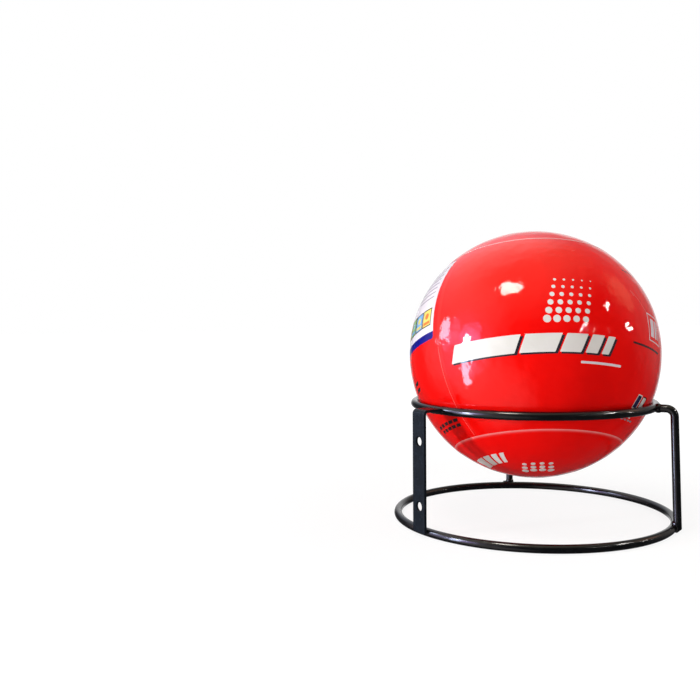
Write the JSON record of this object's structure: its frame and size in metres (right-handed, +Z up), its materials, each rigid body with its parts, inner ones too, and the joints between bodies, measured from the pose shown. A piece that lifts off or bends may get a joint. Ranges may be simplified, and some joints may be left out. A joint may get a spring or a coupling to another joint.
{
  "type": "fire extinguisher ball",
  "caption": "Sealed red dry-powder ball for putting out fires, resting in a black wire stand that stands on a surface or screws to a wall.",
  "frame": {"origin": "on the floor under the middle of the stand, on the axis that both rings share", "axes": "+Z up, -X out of the wall strap's back towards the wall, +Y completes the right-handed frame"},
  "size_m": [0.1715, 0.17, 0.1751],
  "materials": {
    "black_coat": "gloss powder coat",
    "red_film": "gloss shrink film",
    "white_foam": "moulded bead foam",
    "stopper_plastic": "moulded plastic",
    "dry_powder": "packed powder",
    "tube_paper": "rolled paper",
    "charge_mix": "packed grains",
    "fuse_cord": "coated cord"
  },
  "bodies": {
    "root": {"base_ring": "black_coat", "seat_ring": "black_coat", "wall_strap": "black_coat", "rod_leg_1": "black_coat", "rod_leg_2": "black_coat", "weld_beads": "black_coat", "film_body": "red_film", "film_cap_top": "red_film", "film_cap_bottom": "red_film", "foam_shell_top": "white_foam", "foam_shell_bottom": "white_foam", "stopper_top": "stopper_plastic", "stopper_bottom": "stopper_plastic", "powder_fill": "dry_powder", "charge_tube": "tube_paper", "tube_end_top": "stopper_plastic", "tube_end_bottom": "stopper_plastic", "burst_charge": "charge_mix", "fuse_strand_1": "fuse_cord", "fuse_strand_2": "fuse_cord"}
  },
  "joints": []
}
